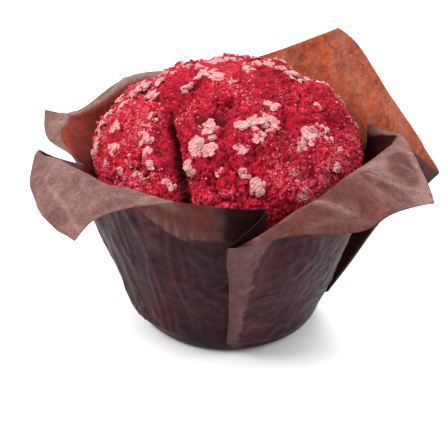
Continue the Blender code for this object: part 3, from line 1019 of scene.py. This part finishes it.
# %% Uneven nuggets from small spheres


def nugget(subdivisions, planes, uneven, seed, grain=6.0):
    """An uneven nugget about one unit wide: a ball pressed flat from a few sides."""
    rough = random.Random(seed)
    offset = Vector([rough.uniform(-50, 50) for _ in range(3)])
    ways = [Vector([rough.gauss(0, 1) for _ in range(3)]).normalized() for _ in range(planes)]
    reaches = [rough.uniform(0.24, 0.42) for _ in ways]
    ball = bmesh.new()
    bmesh.ops.create_icosphere(ball, subdivisions=subdivisions, radius=0.5)
    for vert in ball.verts:
        for way, reach in zip(ways, reaches):
            vert.co -= way * max(vert.co.dot(way) - reach, 0.0)
        vert.co += vert.co.normalized() * uneven * noise.noise(vert.co * grain + offset)
    mesh = bpy.data.meshes.new("nugget")
    ball.to_mesh(mesh)
    ball.free()
    return mesh


def settle(mesh, spot, way, size, spin):
    """Size, turn and move a shape's points to its place on the dome."""
    points = np.empty(len(mesh.vertices) * 3)
    mesh.vertices.foreach_get("co", points)
    turn = way.to_track_quat("Z", "Y").to_matrix() @ Matrix.Rotation(spin, 3, "Z")
    points = points.reshape(-1, 3) @ (np.array(turn) * np.array(size)).T + np.array(spot)
    points = held_inside(points / MM) * MM
    mesh.vertices.foreach_set("co", points.astype(np.float32).ravel())


def scatter(name, shapes, places, material):
    """One piece from copies of shapes; a place is a spot, way, size, spin and shape number."""
    joined = bmesh.new()
    for spot, way, size, spin, which in places:
        copy = shapes[which].copy()
        settle(copy, spot, way, size, spin)
        joined.from_mesh(copy)
    piece = finished(name, joined, material, smooth=False)
    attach(piece, "root")
    print(name, "copies:", len(places), "faces:", len(piece.data.polygons))
    return piece


print("points of a nugget:", len(nugget(2, 6, 0.1, 0).vertices))

# %% Where the lumps are: pixel x, pixel y and width in millimetres
SEEN_LUMPS = (
    (150, 122, 6.4), (151, 95, 5.4), (206, 73, 6.4), (217, 75, 5.6), (186, 87, 5.4),
    (207, 129, 7.2), (196, 147, 6.4), (208, 148, 6.4), (113, 127, 5.6), (145, 139, 5.4),
    (147, 152, 3.8), (98, 140, 5.6), (95, 150, 5.0), (114, 149, 4.6), (127, 161, 4.8),
    (121, 107, 4.8), (134, 92, 5.0), (220, 61, 5.0), (173, 73, 3.2), (249, 70, 5.2),
    (231, 80, 4.4), (270, 64, 5.2), (295, 74, 5.8), (308, 79, 4.6), (270, 104, 4.6),
    (258, 122, 6.4), (270, 121, 6.4), (241, 124, 4.0), (258, 135, 5.2), (311, 136, 7.4),
    (322, 134, 7.4), (304, 146, 5.4), (243, 149, 4.8), (319, 107, 3.0), (340, 151, 3.2),
    (139, 178, 3.8), (169, 187, 4.8), (188, 168, 4.0), (219, 174, 2.8), (337, 168, 3.4),
    (257, 187, 5.6), (293, 174, 3.4), (150, 165, 3.0), (244, 64, 4.4), (257, 63, 4.4),
    (281, 68, 4.0), (245, 175, 3.6), (106, 117, 4.2), (160, 80, 4.4), (106, 164, 3.4),
    (120, 170, 3.0), (302, 196, 4.4), (145, 85, 4.2), (112, 112, 4.0), (101, 127, 5.0),
    (119, 99, 4.6), (128, 97, 4.2), (92, 156, 4.8), (141, 80, 4.4), (155, 76, 4.2),
    (164, 73, 4.0), (91, 164, 4.0), (199, 66, 4.2), (210, 62, 4.4), (233, 59, 4.6),
)
HIDDEN_LUMPS = ((5.4, 14), (4.0, 26), (2.8, 34))
TRIES = 30
SUGAR_FROM = 57.0
DOME_CENTRE = Vector((0, 0, 50 * MM))
SEEN_LEAST = 0.02


def seen_in_picture(spot):
    """Whether the camera sees this side of the dome."""
    return (spot - DOME_CENTRE).normalized().dot(-forward) > SEEN_LEAST


def tilted(way, most):
    """A way turned aside by chance."""
    return (way + Vector([draw.uniform(-most, most) for _ in range(3)])).normalized()


draw = random.Random(7)
skin = cake_piece.data.vertices
dome_spots = [(v.co.copy(), v.normal.copy()) for v in skin if v.co.z > SUGAR_FROM * MM]
lumps = [(on_dome(x, y), width) for x, y, width in SEEN_LUMPS]
lumps = [(spot, width) for spot, width in lumps if spot]
for width, count in HIDDEN_LUMPS:
    for _ in range(count):
        tried = [draw.choice(dome_spots)[0] for _ in range(TRIES)]
        tried = [spot for spot in tried if not seen_in_picture(spot)]
        rooms = [min((spot - other).length for other, _ in lumps) for spot in tried]
        lumps.append((tried[rooms.index(max(rooms))], width))
print("sugar clusters:", len(lumps))

# %% Build the clusters: one broad flake, and others on a spiral round it
FLAKE_SIZE = (2.0, 3.5)
FLAKE_THICKNESS = 1.25
FLAKE_TILT = 0.32
FLAKE_SINK = (-0.45, 0.15)
FLAKE_AREA = 5.5
FLAKE_SEED = 1000
MAIN_FLAKE = 0.7
LARGEST_FLAKE = 0.85
CLUSTER_MARGIN = 0.6
SPIRAL_TURN = 2.4

flake_shapes = []
flake_places = []
for spot, width in lumps:
    way = dome_way(spot / MM)
    side = way.orthogonal().normalized()
    reach = max(width / 2 - CLUSTER_MARGIN, 0.2) * MM
    turn = draw.uniform(0, 2 * math.pi)
    count = 1 + round(width * width / FLAKE_AREA)
    for number in range(count):
        around = Matrix.Rotation(turn + SPIRAL_TURN * number, 3, way) @ side
        offset = around * reach * math.sqrt(number / count)
        size = MM * min(draw.uniform(*FLAKE_SIZE), LARGEST_FLAKE * width)
        if number == 0:
            size = max(size, MAIN_FLAKE * width * MM)
        sizes = (size * draw.uniform(1.0, 1.3), size * draw.uniform(0.75, 1.05),
                 FLAKE_THICKNESS * MM * draw.uniform(0.8, 1.2))
        facing = tilted(way, FLAKE_TILT)
        skin_spot = cake_piece.closest_point_on_mesh(spot + offset)[1]
        centre = skin_spot + way * MM * draw.uniform(*FLAKE_SINK)
        which = len(flake_shapes)
        flake_shapes.append(nugget(3, 9, 0.13, FLAKE_SEED + which, grain=5.0))
        flake_places.append((centre, facing, sizes, draw.uniform(0, 6.3), which))
print("sugar flakes:", len(flake_shapes))

# %% The sugar's finish: pale, grainy and faintly pink
SUGAR_PEACH = (0.58, 0.345, 0.315)
SUGAR_PINK = (0.49, 0.185, 0.185)
SUGAR_ROSE = (0.42, 0.15, 0.17)
SUGAR_SPECK = (0.44, 0.10, 0.12)

look = Finish("pink_white_sugar", 0.6)
grain = look.cells(0.6)
tint = look.between(0.35, 0.65, look.noise(1.3, 3.0, 0.65))
colour = look.mix(tint, SUGAR_PEACH, SUGAR_PINK)
rosy = look.between(0.45, 0.6, look.noise(5.0, 2.0, 0.5)) * 0.45
colour = look.mix(rosy, colour, SUGAR_ROSE)
specks = look.between(0.35, 0.6, grain) * 0.4
colour = look.mix(specks, colour, SUGAR_SPECK)
relief = look.bump(grain, 0.45)
look.paint(Specular_IOR_Level=0.4, Subsurface_Weight=0.25)
look.paint(Subsurface_Radius=(1.0, 0.5, 0.45), Subsurface_Scale=0.8 * MM)
sugar_material = look.paint(Base_Color=colour, Normal=relief)
scatter("sugar_lumps", flake_shapes, flake_places, sugar_material)

# %% [markdown]
# ## Loose crumbs and fine sugar
#
# A craggy top is never smooth at its edge. Small crumbs sit on the skin, and over a thousand
# sugar crystals sparkle between them. Both are true meshes with few faces each.

# %% Crumbs that stand out of the skin
CRUMB_TRIALS = 1500
CRUMB_SHAPES = 8
CRUMB_SEED = 100
CRUMB_TILT = 0.8
CRUMB_SUNK = 0.2
SMALLEST_CRUMB = 0.8
LARGEST_CRUMB = 2.1
CLEAR_SPLIT = 2.5

crumb_shapes = [nugget(2, 7, 0.3, CRUMB_SEED + number) for number in range(CRUMB_SHAPES)]
crumb_places = []
for _ in range(CRUMB_TRIALS):
    spot, way = draw.choice(dome_spots)
    if split(spot / MM) > CLEAR_SPLIT or craggy(spot / MM) < draw.random():
        continue
    size = MM * (SMALLEST_CRUMB + (LARGEST_CRUMB - SMALLEST_CRUMB) * draw.random() ** 2)
    sizes = [size * draw.uniform(0.8, 1.4), size * draw.uniform(0.6, 1.0), size * 0.7]
    crumb_places.append((spot - way * size * CRUMB_SUNK, tilted(way, CRUMB_TILT), sizes,
                         draw.uniform(0, 6.3), draw.randrange(CRUMB_SHAPES)))
loose = scatter("loose_crumbs", crumb_shapes, crumb_places, crumb_material)

# %% Loose crumbs take the skin's finish, so they need its shares too
LOOSE_HEIGHT = 0.65
for name, share in (("crumb", lambda point: LOOSE_HEIGHT), ("dust", sugar_dust)):
    values = [share(vert.co / MM) for vert in loose.data.vertices]
    loose.data.attributes.new(name, "FLOAT", "POINT").data.foreach_set("value", values)
print("loose crumbs with shares:", len(crumb_places))

# %% Fine sugar crystals, thicker in some patches
CRYSTAL_COUNT = 1100
CRYSTAL_SHAPES = 4
CRYSTAL_SIZE = (0.25, 0.5)
CRYSTAL_LIFT = 0.1
CRYSTAL_CUT = 0.25
CRYSTAL_UNEVEN = 0.08
CRYSTAL_PINK = (0.56, 0.15, 0.18)
CRYSTAL_RED = (0.50, 0.07, 0.10)


def crystal(seed):
    """A worn sugar crystal: a cube with its corners cut."""
    rough = random.Random(seed)
    block = bmesh.new()
    bmesh.ops.create_cube(block, size=1)
    bmesh.ops.bevel(block, geom=block.verts, offset=CRYSTAL_CUT, affect="VERTICES",
                    segments=1, profile=0.5, material=-1)
    for vert in block.verts:
        vert.co += Vector([rough.uniform(-CRYSTAL_UNEVEN, CRYSTAL_UNEVEN) for _ in range(3)])
    mesh = bpy.data.meshes.new("crystal")
    block.to_mesh(mesh)
    block.free()
    return mesh


crystal_places = []
while len(crystal_places) < CRYSTAL_COUNT:
    spot, way = draw.choice(dome_spots)
    if sugar_dust(spot / MM) < draw.random() or split(spot / MM) > 1.0:
        continue
    size = MM * draw.uniform(*CRYSTAL_SIZE)
    facing = tilted(way, 1)
    sizes = [size, size * draw.uniform(0.7, 1), size * draw.uniform(0.6, 1)]
    crystal_places.append((spot + way * size * CRYSTAL_LIFT, facing, sizes,
                           draw.uniform(0, 6.3), draw.randrange(CRYSTAL_SHAPES)))

look = Finish("sugar_crystals", 0.35)
tint = look.between(0.35, 0.65, look.noise(1.4, 1.0, 0.5))
colour = look.mix(tint, CRYSTAL_PINK, CRYSTAL_RED)
crystal_material = look.paint(Base_Color=colour)
crystal_shapes = [crystal(number) for number in range(CRYSTAL_SHAPES)]
scatter("sugar_crystals", crystal_shapes, crystal_places, crystal_material)

# %% [markdown]
# ## Floor and light
#
# A plain pale floor and large soft lights, as in a small photo studio: a broad key from
# the upper left, a light behind on the right, and a bright even surround. The orange of
# light through the tall petal is painted into the paper's colour.

# %% Floor
FLOOR_REACH = 3.0
FLOOR_WHITE = (0.86, 0.86, 0.87)

floor_shape = bmesh.new()
bmesh.ops.create_grid(floor_shape, x_segments=1, y_segments=1, size=FLOOR_REACH)
floor_material = Finish("pale_floor", 0.5).paint(Base_Color=FLOOR_WHITE)
floor = finished("floor", floor_shape, floor_material, smooth=False)
floor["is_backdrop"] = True

# %% Lights: each has a place and a size in metres, a power in watts and a colour
WARM_WHITE = (1.0, 0.98, 0.96)
COOL_WHITE = (0.97, 0.98, 1.0)
LIGHTS = {
    "key": ((-0.62, -0.18, 0.72), 0.50, 14.0, WARM_WHITE),
    "back": ((0.35, 0.60, 0.62), 0.45, 8.5, WARM_WHITE),
    "fill": ((0.55, -0.46, 0.80), 0.50, 8.0, COOL_WHITE),
}
MUFFIN_MIDDLE = Vector((0, 0, 0.04))
SURROUND_COLOUR = (0.95, 0.97, 1.0, 1)
SURROUND_STRENGTH = 0.4

for name, (place, size, power, colour) in LIGHTS.items():
    data = bpy.data.lights.new(name, "AREA")
    data.size = size
    data.energy = power
    data.color = colour
    light = bpy.data.objects.new(name, data)
    light.location = place
    light.rotation_euler = (MUFFIN_MIDDLE - Vector(place)).to_track_quat("-Z", "Y").to_euler()
    bpy.context.scene.collection.objects.link(light)
world = bpy.data.worlds.new("surround")
world.use_nodes = True
background = world.node_tree.nodes["Background"]
background.inputs["Color"].default_value = SURROUND_COLOUR
background.inputs["Strength"].default_value = SURROUND_STRENGTH
bpy.context.scene.world = world
bpy.context.scene.view_settings.view_transform = "Standard"
print("lights:", list(LIGHTS))

# %% Sizes for the record, and the end
seen_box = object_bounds()
sizes = {"cad": [list(c) for c in cad_box], "visual": [list(c) for c in seen_box]}
print("finished muffin, mm:", [round(float(b - a) / MM, 1) for a, b in zip(*seen_box)])
